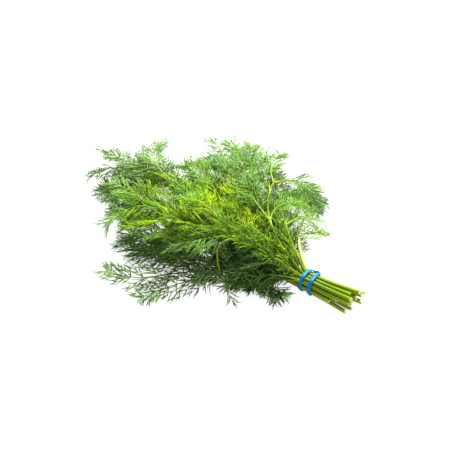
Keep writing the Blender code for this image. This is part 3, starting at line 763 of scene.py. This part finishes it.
class Threads:
    """The threads of one leafy stem: bent ones of four points, and straight forks of two."""

    def __init__(self):
        self.bent, self.straight = [], []

    def side_rib(self, a, m, b, rnd, shade):
        """The pairs of threads on the side rib from a by m to b, each with its forks, and the tip's tuft."""
        length = np.linalg.norm(b - a)
        dusk = rnd.normal(0, CLUMP_TONE)
        sweep, least, longest, spacing, forks = habit((a + b) / 2)
        count = max(3, int(length * THREADED_LENGTH / spacing))
        share = np.linspace(*THREADED, count) + rnd.uniform(-0.3, 0.3, count) * 0.8 / count
        share = np.repeat(np.clip(share, 0.08, 1.0), 2)
        many = len(share)
        hand = np.tile([-1.0, 1.0], count)
        foot, along = curved(a, m, b, share)
        across = rows_unit(np.cross(along, UP + 1e-3))
        lift = np.cross(across, along)
        roll = rnd.uniform(-0.5, 0.5) + rnd.normal(0, THREAD_ROLL_APART, many)[:, None]
        side = hand[:, None] * (across * np.cos(roll) + lift * np.sin(roll))
        size = np.clip(THREAD_SHORTER * (1 - share) * length + least, least, longest)
        size = (size * rnd.uniform(*THREAD_LENGTH_APART, many))[:, None]
        turn = sweep * rnd.uniform(*THREAD_SWEEP_APART, many)
        turn = (turn * np.where(share > TUFT_FROM, TUFT_SWEEP, 1.0))[:, None]
        way = along * np.cos(turn) + side * np.sin(turn)
        lean, droop = (rnd.uniform(0.0, most, many)[:, None] for most in (THREAD_LEAN, THREAD_DROOP))
        bend = along * lean - UP * droop + rnd.normal(0, THREAD_CURL, (many, 3))
        first = foot + way * size * THREAD_PARTS[0]
        second = first + rows_unit(way + bend) * size * THREAD_PARTS[1]
        tip = second + rows_unit(way + 2 * bend) * size * THREAD_PARTS[2]
        tint = np.tile([shade, dusk], (many, 1))
        self.bent.append((np.stack([foot, first, second, tip], 1), tint))
        square = rows_unit(np.cross(np.cross(along, side), way))
        for number in range(forks):
            low, high = (first, second) if number else (foot + (first - foot) * 0.4, first)
            start = low + (high - low) * rnd.uniform(0, 1, many)[:, None]
            out = (1 if number else -1) * rnd.uniform(*FORK_ANGLE, many)[:, None]
            flight = way * np.cos(out) + square * np.sin(out) + bend
            flight = rows_unit(flight + rnd.normal(0, 0.08, (many, 3)))
            reach = size * rnd.uniform(*FORK_LENGTH, many)[:, None]
            self.straight.append((np.stack([start, start + flight * reach], 1), tint))

    def into(self, flesh, rnd, low, high):
        """Puts them all into the piece, kept on the table and inside the bunch's box."""
        for lists, radii in ((self.bent, (*THREAD_RADIUS, 0.0)), (self.straight, (FORK_RADIUS, 0.0))):
            lines = np.clip(np.concatenate([x[0] for x in lists]), low, high)
            shade, dusk = np.concatenate([x[1] for x in lists]).T
            # Each thread takes the hue and the painted light and shade of its middle, and clumps and single
            # threads differ in tone at random.
            hue, tone = hue_and_painted_light(lines[:, 1])
            hue = hue + shade + rnd.normal(0, THREAD_HUE_APART, len(hue))
            hue = np.clip(hue, 0, 1 - THREAD_HUE)
            tone = tone + dusk + rnd.normal(0, THREAD_TONE, len(tone))
            along = np.linspace(-TIP_LIGHTER, TIP_LIGHTER, lines.shape[1])
            tones = np.clip(tone[:, None], *THREAD_TONES) + along
            near_table = part_way(lines[:, 0, 2], LOW_THICKER_BELOW, 0)
            thick = rnd.uniform(*THREAD_THICK_APART, len(hue)) + LOW_THICKER * near_table
            thick = np.array(radii) * thick[:, None]
            roll = rnd.uniform(0, 2, len(hue))
            flesh.tubes(lines, thick, (hue, hue + THREAD_HUE), tones, THREAD_SIDES, LEAFLET, roll=roll)


# The stems' skin: the lines above with rounded bends, and nine low ridges along each stem. It swells and pales
# where a leaf clasps it, is whitish along a sheath, and ends at the cut in a rim round a sunken pith.
STEM_SIDES = 18
RIDGE = 0.035
NODE_SWELL = 0.20
NODE_LENGTH = 2.4
STEM_TONE = 0.62
STEM_TONE_APART = (-0.14, 0.26)
NODE_PALE = 0.50
CUT_PALE = 0.32
CUT_PALE_LENGTH = 13.0
SHADED = 0.35
SHADED_FROM, SHADED_TO = -45.0, -85.0
SHEATH_PALE = 0.45
SHEATH_MIDDLE = -18.0
SHEATH_HALF = 12.0
CUT_TILT = 0.30
SLANTED_CUT = {8: (2.6, -0.9)}
CUT_RINGS = ((1.0, 0.0), (0.86, 0.02), (0.74, -0.10), (0.40, -0.22))
PITH_DEPTH = 0.26
TWIG_TONE = 0.32
TWIG_THICK = (1.35, 1.20)


def add_stem(flesh, stem, rnd):
    """The round stem with its low ridges and swollen nodes, and its cut end with a rim and a sunken pith."""
    index = stem["index"]
    line = finer(stem["points"], LINE_STEPS)
    radii = np.interp(np.arange(len(line)) / LINE_STEPS, np.arange(len(stem["radii"])), stem["radii"])
    far = distances(line)
    swell, pale = np.zeros(len(line)), np.zeros(len(line))
    for leaf in stem["leaves"]:
        node = far[np.argmin(np.linalg.norm(line - leaf["points"][0], axis=1))]
        swell = np.maximum(swell, bump(far - node, NODE_LENGTH))
        pale = np.maximum(pale, bump(far - node, 2 * NODE_LENGTH))
    tone = STEM_TONE - NODE_PALE * pale + np.cumsum(rnd.normal(0, 0.012, len(line)))
    tone = tone + rnd.uniform(*STEM_TONE_APART)
    tone = tone - CUT_PALE * np.exp(-far / CUT_PALE_LENGTH) + rnd.normal(0, 0.01, len(line))
    if index != HERO:
        tone = tone + SHADED * part_way(line[:, 0], SHADED_FROM, SHADED_TO)
    if index in SHEATHED:
        tone = tone - SHEATH_PALE * bump(line[:, 0] - SHEATH_MIDDLE, SHEATH_HALF)
    radii = radii * (1 + NODE_SWELL * swell)
    ridges = 1 + RIDGE * np.cos(np.arange(STEM_SIDES) * math.pi)
    edge = flesh.skin_tube(line, radii, tone, STEM_SIDES, profile=ridges, ends=False)[0]
    along = unit(line[0] - line[1])
    across, lift = sides_of(along)
    tilt = rnd.normal(0, 1, 3) * CUT_TILT
    aside, upward = SLANTED_CUT.get(index, tilt[:2])
    slope = lift * upward - across * aside
    middle = edge.mean(0)
    rings = []
    for size, sunk in CUT_RINGS:
        ring = middle + (edge - middle) * size + along * sunk
        rings.append(ring + along * ((ring - middle) @ slope)[:, None])
    points = np.vstack(rings + [(middle - along * PITH_DEPTH)[None]])
    flesh.points[-1][:STEM_SIDES] = rings[0]
    s = np.arange(STEM_SIDES)
    left, right = s / STEM_SIDES, (s + 1) / STEM_SIDES
    parts = []
    for k in range(len(rings)):
        low, high = np.full(STEM_SIDES, k / len(rings)), np.full(STEM_SIDES, (k + 1) / len(rings))
        a, b = k * STEM_SIDES + s, k * STEM_SIDES + (s + 1) % STEM_SIDES
        if k < len(rings) - 1:
            c, d = b + STEM_SIDES, a + STEM_SIDES
            parts.append(((b, a, d), (right, left, left), (low, low, high)))
            parts.append(((b, d, c), (right, left, right), (low, high, high)))
        else:
            pith = np.full(STEM_SIDES, len(points) - 1)
            parts.append(((b, a, pith), (right, left, (left + right) / 2), (low, low, high)))
    flesh.add(points, parts, CUT)


def add_twig(flesh, rnd):
    """The short side twig near the cut, rounded off at its end."""
    line = finer(np.array(TWIG, float), LINE_STEPS)
    thick = TWIG_RADIUS * np.linspace(*TWIG_THICK, len(line))
    thick[-1] *= 0.6
    flesh.skin_tube(line, thick, TWIG_TONE + rnd.normal(0, 0.02, len(line)), RIB_SIDES, pointed=False)


# The leaves' ribs and side ribs: radii at foot and tip, how pale they are, how much of the foliage's painted
# light and shade the ribs take on, and where more side ribs stand between each two of the solid's, as shares of
# the way from one to the next.
RIB_SIDES = 6
RIB_THICK = (0.95, 0.34)
RIB_TAPER = 0.8
RIB_FOOT = 0.55
RIB_FOOT_SHARE = 0.05
RIB_TONE = 0.66
RIB_TAKES_PAINTED_LIGHT = 0.34
RIB_TIP = 0.08
RIB_FOOT_PALE = 0.35
RIB_PALE_SHARE = 0.06
LOOSE_LEAF_TIP = (-51, -60, 2)
LOOSE_LEAF_PALE = 0.30
PINNA_SIDES = 4
PINNA_THICK = (0.42, 0.16)
PINNA_LIGHTER = (0.24, 0.18, 0.12, 0.08)
MORE_RIBS = (0.5,)
MORE_RIBS_INSIDE = (0.3, 0.5, 0.7)


# The dark, crowded inside of the bunch: how high, how far back and how far from the band it reaches.
INSIDE_HEIGHT = 26.0
INSIDE_BACK = 38.0
INSIDE_REACH = 180.0


def is_inside(place):
    """Whether a place is in the dark, crowded inside of the bunch."""
    x, y, z = place
    return z < INSIDE_HEIGHT and y < INSIDE_BACK and math.hypot(x, y) < INSIDE_REACH and not on_fringe(place)


def side_ribs_of(leaf, line, loose, rnd):
    """The leaf's side ribs, as in the solid and more between: foot, the leaf rib's direction there, tip."""
    ribs = []
    hands = {1: [], -1: []}
    for share, tip in leaf["pinnae"]:
        base, along = on_line(line, share)
        ribs.append((base, along, tip))
        across, _ = sides_of(along)
        hands[1 if (tip - base) @ across > 0 else -1].append((share, base, tip))
    for side in hands.values():
        for (s0, b0, t0), (s1, b1, t1) in zip(side, side[1:]):
            place = (b0 + t0) / 2
            if loose or not 0.02 < s1 - s0 < 0.3 or nearness(place, *RIGHT_LOBE) >= 0.5:
                continue
            for between in MORE_RIBS_INSIDE if is_inside(place) else MORE_RIBS:
                between = between + rnd.uniform(-0.08, 0.08)
                base, along = on_line(line, s0 + (s1 - s0) * between)
                tip = base + ((t0 - b0) * (1 - between) + (t1 - b1) * between) * rnd.uniform(0.8, 1.05)
                tip = tip + rnd.normal(0, 0.10, 3) * np.linalg.norm(tip - base)
                tip[2] = max(tip[2], 0.4)
                ribs.append((base, along, tip))
    return ribs


def add_leaf_ribs(flesh, threads, leaf, rnd):
    """The leaf's rib with a pale clasping foot, its side ribs, and the threads on them."""
    line = finer(leaf["points"], LINE_STEPS)
    share = np.linspace(0, 1, len(line))
    thick = RIB_THICK[0] + (RIB_THICK[1] - RIB_THICK[0]) * share**RIB_TAPER
    thick = thick + RIB_FOOT * np.exp(-share / RIB_FOOT_SHARE)
    thick[-1] = 0
    loose = np.allclose(leaf["points"][-1], LOOSE_LEAF_TIP)
    # The rib's tone takes on a share of the foliage's painted light and shade at its place, besides its pale
    # foot.
    _, tone = hue_and_painted_light(line)
    tone = RIB_TONE - RIB_TAKES_PAINTED_LIGHT * tone - RIB_FOOT_PALE * np.exp(-share / RIB_PALE_SHARE) + RIB_TIP * share
    tone = tone + rnd.normal(0, 0.02, len(line)) - LOOSE_LEAF_PALE * loose
    flesh.skin_tube(line, thick, tone, RIB_SIDES)
    shade = rnd.normal(0, 0.05)
    lines, shades = [], []
    for base, along, tip in side_ribs_of(leaf, line, loose, rnd):
        length = np.linalg.norm(tip - base)
        middle = (base + tip) / 2 + (UP * 0.03 - along * 0.07 + rnd.normal(0, 0.03, 3)) * length
        lines.append(curved(base, middle, tip, np.array([0, 0.33, 0.66, 1.0]))[0])
        shades.append(shade + rnd.normal(0, 0.03))
        if not loose:
            threads.side_rib(base, middle, tip, rnd, shades[-1])
    base, end = line[-len(line) // 5], line[-1]
    threads.side_rib(base, (base + end) / 2, end, rnd, shade)
    lines = np.array(lines)
    # The side ribs take the hue and the painted light and shade of their middles.
    hue, tone = hue_and_painted_light(lines[:, 1])
    hue = np.clip(hue + np.array(shades), 0, 1 - THREAD_HUE)
    tones = np.clip(tone[:, None], 0.1, 0.8) + np.array(PINNA_LIGHTER)
    thick = np.linspace(*PINNA_THICK, len(PINNA_LIGHTER))[None] * np.ones((len(lines), 1))
    flesh.tubes(lines, thick, (hue, hue + THREAD_HUE), tones, PINNA_SIDES, LEAFLET)


# Small leaflets that stand straight on the stems, but not on the bare ones.
YOUNG_FROM = -15.0
YOUNG_ABOVE = 6.0
YOUNG_STEP = 8.0
YOUNG_LENGTH = (9.0, 16.0)
BARE_STEMS = (10, 12, 15)
FEATHERY = {18: 1.6}


def add_young_leaflets(threads, stem, rnd):
    """Small feathery leaflets that stand straight on the stem, hiding it among the leaves."""
    larger = FEATHERY.get(stem["index"], 1)
    line = finer(stem["points"], LINE_STEPS)
    far = distances(line)
    for at in np.arange(far[np.argmax(line[:, 0] < YOUNG_FROM)], far[-1], YOUNG_STEP / larger):
        spot, ahead = np.stack([np.interp((at, at + 1), far, line[:, axis]) for axis in range(3)], 1)
        if spot[2] < YOUNG_ABOVE:
            continue
        along = unit(ahead - spot + 1e-9)
        across, lift = sides_of(along)
        turn = rnd.uniform(0.0, 1.2)
        for hand in (-1, 1):
            way = along * rnd.uniform(0.8, 1.3) + hand * across * math.cos(turn) + lift * abs(math.sin(turn))
            tip = spot + unit(way) * rnd.uniform(*YOUNG_LENGTH) * larger
            threads.side_rib(spot, (spot + tip) / 2 + UP * 0.5, tip, rnd, rnd.normal(0.02, 0.04))


class Wire:
    """A socket among a material's nodes. Sums on it add Math nodes, and node() adds any other kind of node."""

    def __init__(self, socket):
        self.socket = socket

    def node(self, kind, settings=None, links=None):
        made = self.socket.id_data.nodes.new("ShaderNode" + kind)
        for name, value in (settings or {}).items():
            if name == "stops":
                stops = made.color_ramp.elements
                while len(stops) < len(value):
                    stops.new(0.5)
                for stop, (position, colour) in zip(stops, value):
                    stop.position, stop.color = position, (*colour, 1)
            else:
                setattr(made, name, value)
        for place, value in (links or {}).items():
            if isinstance(value, Wire):
                self.socket.id_data.links.new(value.socket, made.inputs[place])
            else:
                made.inputs[place].default_value = value
        return Wire(next(out for out in made.outputs if out.enabled))

    def out(self, name):
        return Wire(self.socket.node.outputs[name])

    def into(self, socket):
        self.socket.id_data.links.new(self.socket, socket)

    def times(self, colour):
        """This colour with another laid over it, each multiplying the other."""
        return self.node("Mix", {"data_type": "RGBA", "blend_type": "MULTIPLY"}, {0: 1.0, 6: self, 7: colour})

    def __add__(self, other):
        return self.node("Math", {"operation": "ADD"}, {0: self, 1: other})

    def __sub__(self, other):
        return self.node("Math", {"operation": "SUBTRACT"}, {0: self, 1: other})

    def __rsub__(self, other):
        return self.node("Math", {"operation": "SUBTRACT"}, {0: other, 1: self})

    def __mul__(self, other):
        return self.node("Math", {"operation": "MULTIPLY"}, {0: self, 1: other})

    __radd__ = __add__
    __rmul__ = __mul__


def new_material(name, **constants):
    """A material's shader with the values that are the same all over it."""
    material = bpy.data.materials.new(name)
    material.use_nodes = True
    shader = material.node_tree.nodes["Principled BSDF"]
    for socket, value in constants.items():
        shader.inputs[socket.replace("_", " ")].default_value = value
    return material, shader


def map_place(shader, finish):
    """The place on the colour map: across, and up within the finish's strip."""
    low, high = STRIPS[finish]
    start = Wire(shader.outputs[0])
    split = start.node("SeparateXYZ", links={0: start.node("UVMap", {"uv_map": "OFBake"})})
    return split, (split.out("Y") - low) * (1 / (high - low))


def uneven(hue, tone, across, up, detail):
    """An unevenness from 0 to 1 over the colour map, with this many spots across it and up it."""
    place = hue.node("CombineXYZ", links={0: hue * across, 1: tone * up})
    return hue.node("TexNoise", {"noise_dimensions": "2D"}, {"Vector": place, "Scale": 1.0, "Detail": detail})


# The threads' colour runs from dark olive through deep, grey and fresh green to yellow along the map, and from
# shade to light up it, with a fine uneven grain.
DARKEST, LIGHTER, GRAIN = 0.12, 1.42, 0.35
leaflet, shader = new_material("dill_leaflet", Roughness=0.55, Specular_IOR_Level=0.08)
hue, tone = map_place(shader, LEAFLET)
grain = uneven(hue, tone, 60, 9, 2.0)
green = hue.node("ValToRGB", {"stops": [
    (0.0, (0.050, 0.052, 0.014)), (0.25, (0.085, 0.105, 0.022)), (0.42, (0.085, 0.165, 0.026)),
    (0.53, (0.170, 0.320, 0.080)), (0.66, (0.170, 0.340, 0.010)), (0.80, (0.300, 0.460, 0.008)),
    (0.92, (0.560, 0.600, 0.008)), (1.0, (0.680, 0.430, 0.020)),
]}, {0: hue})
light = DARKEST + tone * LIGHTER + (grain - 0.5) * GRAIN
light = hue.node("CombineColor", links={0: light, 1: light, 2: light * 1.05})
green.times(light).into(shader.inputs["Base Color"])

# The stems' skin: whitish at the nodes, bright green along the stem, streaked lengthwise.
STREAKS = 0.55
skin, shader = new_material("dill_stem_skin", Roughness=0.22, Specular_IOR_Level=0.16)
hue, tone = map_place(shader, SKIN)
streak = uneven(hue, tone, 26, 2.5, 3.0)
hue.node("ValToRGB", {"stops": [
    (0.0, (0.56, 0.64, 0.22)), (0.22, (0.33, 0.44, 0.020)), (0.55, (0.17, 0.27, 0.004)),
    (1.0, (0.060, 0.11, 0.002)),
]}, {0: tone + (streak - 0.5) * STREAKS}).into(shader.inputs["Base Color"])

# The cut ends: a green rim round a pale, moist pith with short rays.
RAYS = 0.4
cut, shader = new_material("dill_cut_end", Roughness=0.30)
hue, tone = map_place(shader, CUT)
rays = uneven(hue, tone, 22, 3, 2.0)
hue.node("ValToRGB", {"stops": [
    (0.0, (0.34, 0.44, 0.01)), (0.22, (0.46, 0.54, 0.03)), (0.42, (0.70, 0.70, 0.18)),
    (1.0, (0.80, 0.80, 0.46)),
]}, {0: tone + (rays - 0.5) * RAYS}).into(shader.inputs["Base Color"])

# The nineteen pieces, each put in its stem's place. Their threads keep to the solids' box and off the table.
BOX_SPARE = 1.2
LOWEST = 0.30
lowest = np.array(cad_box[0]) / MM - BOX_SPARE - [BAND_APART, 0, 0]
highest = np.array(cad_box[1]) / MM + BOX_SPARE - [BAND_APART, 0, 0]
lowest[2] = LOWEST
for stem in stems:
    rnd = np.random.default_rng(1000 + stem["index"])
    flesh, threads = Flesh(), Threads()
    add_stem(flesh, stem, rnd)
    if stem["index"] == TWIG_STEM:
        add_twig(flesh, rnd)
    for leaf in stem["leaves"]:
        add_leaf_ribs(flesh, threads, leaf, rnd)
    if stem["index"] not in BARE_STEMS:
        add_young_leaflets(threads, stem, rnd)
    threads.into(flesh, rnd, lowest, highest)
    name = f"dill_{stem['index'] + 1:02d}"
    piece = flesh.piece(name, [leaflet, skin, cut])
    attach(piece, "root")
    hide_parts(f"dill_stem_{stem['index'] + 1:02d}")


# The rubber band: one closed strip of blue rubber, flat with rounded edges, stretched round the stems twice.
# It crosses itself at the back and holds by its own pull.
BAND_WIDTH = 3.6
BAND_CROSSING = 0.0
CROSSING_REACH = 3.8
CROSSING_RAMP = 1.4
CROSSING_STEEP = 2.4
BAND_SECTIONS = 120
BAND_SIDES = 14
EDGE_ROUND, FACE_ROUND = 0.5, 0.7


def line_places(line):
    """Points round the line with its outward angle there, closer together where it bends."""
    closed = np.vstack([line, line[:1]])
    edges = np.diff(closed, axis=0)
    angles = np.unwrap(np.arctan2(edges[:, 1], edges[:, 0])) - math.pi / 2
    before = np.roll(angles, 1)
    before[0] -= 2 * math.pi
    corners = (angles + before) / 2
    corners = np.append(corners, corners[0] + 2 * math.pi)
    far = distances(closed)
    spread = far / far[-1] + (corners - corners[0]) / (2 * math.pi)
    places = np.linspace(0, 2, BAND_SECTIONS, endpoint=False)
    points = np.stack([np.interp(places, spread, closed[:, k]) for k in (0, 1)], 1)
    return points, np.interp(places, spread, corners)


def band_line(line):
    """The band's middle line round the bundle twice, with the outward direction at each point."""
    points, angles = line_places(line)
    centre, outward = [], []
    for lap in (0, 1):
        for (y, z), angle in zip(points, angles):
            turned = (angle - BAND_CROSSING + math.pi) % (2 * math.pi)
            half = turned / 2 + math.pi * lap
            x = BAND_APART * math.tanh(CROSSING_STEEP * math.cos(half)) / math.tanh(CROSSING_STEEP)
            lifted = lap * smooth((CROSSING_REACH - abs(x)) / CROSSING_RAMP) * (BAND_THICK + GAP)
            normal = np.array([0, math.cos(angle), math.sin(angle)])
            centre.append(np.array([x, y, z]) + normal * (BAND_THICK / 2 + lifted))
            outward.append((turned + 2 * math.pi * lap, normal))
    order = sorted(range(len(centre)), key=lambda k: outward[k][0])
    return np.array([centre[k] for k in order]), np.array([outward[k][1] for k in order])


centre, normals = band_line(band_outline)
along = rows_unit(np.roll(centre, -1, 0) - np.roll(centre, 1, 0))
across = rows_unit(np.cross(normals, along))
turns = 2 * math.pi * np.arange(BAND_SIDES) / BAND_SIDES
wide = np.sign(np.cos(turns)) * np.abs(np.cos(turns)) ** EDGE_ROUND * BAND_WIDTH / 2
tall = np.sign(np.sin(turns)) * np.abs(np.sin(turns)) ** FACE_ROUND * BAND_THICK / 2
points = centre[:, None] + wide[:, None] * across[:, None] + tall[:, None] * normals[:, None]
points[..., 0] += BAND_APART
count = len(centre)
corner = np.arange(count * BAND_SIDES).reshape(count, BAND_SIDES)
later, beside = np.roll(corner, -1, 0), np.roll(corner, -1, 1)
faces = np.stack([corner, beside, np.roll(beside, -1, 0), later], -1).reshape(-1, 4)
mesh = bpy.data.meshes.new("band")
mesh.from_pydata((points.reshape(-1, 3) * MM).tolist(), [], faces.tolist())
mesh.shade_smooth()
band = put_in_scene("band", mesh)

rubber, shader = new_material("blue_rubber", Roughness=0.42, Specular_IOR_Level=0.12)
spot = Wire(shader.outputs[0]).node("TexCoord").out("Object")
cloud = spot.node("TexNoise", links={"Vector": spot, "Scale": 260.0, "Detail": 3.0})
dust = spot.node("TexNoise", links={"Vector": spot, "Scale": 1500.0, "Detail": 2.0})
spot.node("ValToRGB", {"stops": [
    (0.25, (0.000, 0.13, 0.36)), (0.55, (0.000, 0.18, 0.46)), (0.85, (0.002, 0.24, 0.56)),
]}, {0: cloud + (dust - 0.5) * 0.4}).into(shader.inputs["Base Color"])
(0.36 + dust * 0.2).into(shader.inputs["Roughness"])
mesh.materials.append(rubber)
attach(band, "root")
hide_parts("rubber_band")


# The table: a plain white surface without edges in view, just below the lowest frond.
TABLE_SIDE = 8.0
TABLE_DROP = 0.0004
half = TABLE_SIDE / 2
corners = [(x, y, -TABLE_DROP) for x, y in ((-half, -half), (half, -half), (half, half), (-half, half))]
mesh = bpy.data.meshes.new("table")
mesh.from_pydata(corners, [], [(0, 1, 2, 3)])
table = put_in_scene("table", mesh)
white, shader = new_material(
    "white_table", Roughness=0.8, Base_Color=(0.16, 0.16, 0.16, 1), Emission_Color=(1, 1, 1, 1),
    Emission_Strength=0.92,
)
mesh.materials.append(white)


# The light: a white room, and a broad lamp high behind the bunch, so that its near side and underside are dim.
ROOM_LIGHT = 0.70
LAMP_WIDTH = 0.7
LAMP_POWER = 58
LAMP_PLACE = Vector((-0.30, 0.75, 1.20))
LAMP_AIM = Vector((-0.08, 0.03, 0.03))
world = bpy.data.worlds.new("room")
bpy.context.scene.world = world
world.use_nodes = True
background = world.node_tree.nodes["Background"]
background.inputs["Color"].default_value = (1.0, 1.0, 1.0, 1)
background.inputs["Strength"].default_value = ROOM_LIGHT
lamp = bpy.data.lights.new("lamp", "AREA")
lamp.shape = "DISK"
lamp.size = LAMP_WIDTH
lamp.energy = LAMP_POWER
lamp_object = put_in_scene("lamp", lamp)
lamp_object.location = LAMP_PLACE
lamp_object.rotation_mode = "QUATERNION"
lamp_object.rotation_quaternion = (LAMP_PLACE - LAMP_AIM).to_track_quat("Z", "Y")
bpy.context.scene.view_settings.view_transform = "Standard"


# The camera: from the front right and above, nearly a metre away, with the band right of the picture's middle
# and below it.
AZIMUTH, ELEVATION = math.radians(37), math.radians(42)
DISTANCE = 0.95
LENS = 76
BAND_MIDDLE = Vector((BAND_APART, 2, 11)) * MM
BAND_RIGHT, BAND_BELOW = 0.0855, 0.056
level = math.cos(ELEVATION)
back = Vector((math.sin(AZIMUTH) * level, -math.cos(AZIMUTH) * level, math.sin(ELEVATION)))
right = Vector((math.cos(AZIMUTH), math.sin(AZIMUTH), 0))
up = back.cross(right)
camera = put_in_scene("camera", bpy.data.cameras.new("camera"))
camera.data.lens = LENS
camera.location = BAND_MIDDLE - right * BAND_RIGHT + up * BAND_BELOW + back * DISTANCE
camera.rotation_mode = "QUATERNION"
camera.rotation_quaternion = back.to_track_quat("Z", "Y")
bpy.context.scene.camera = camera
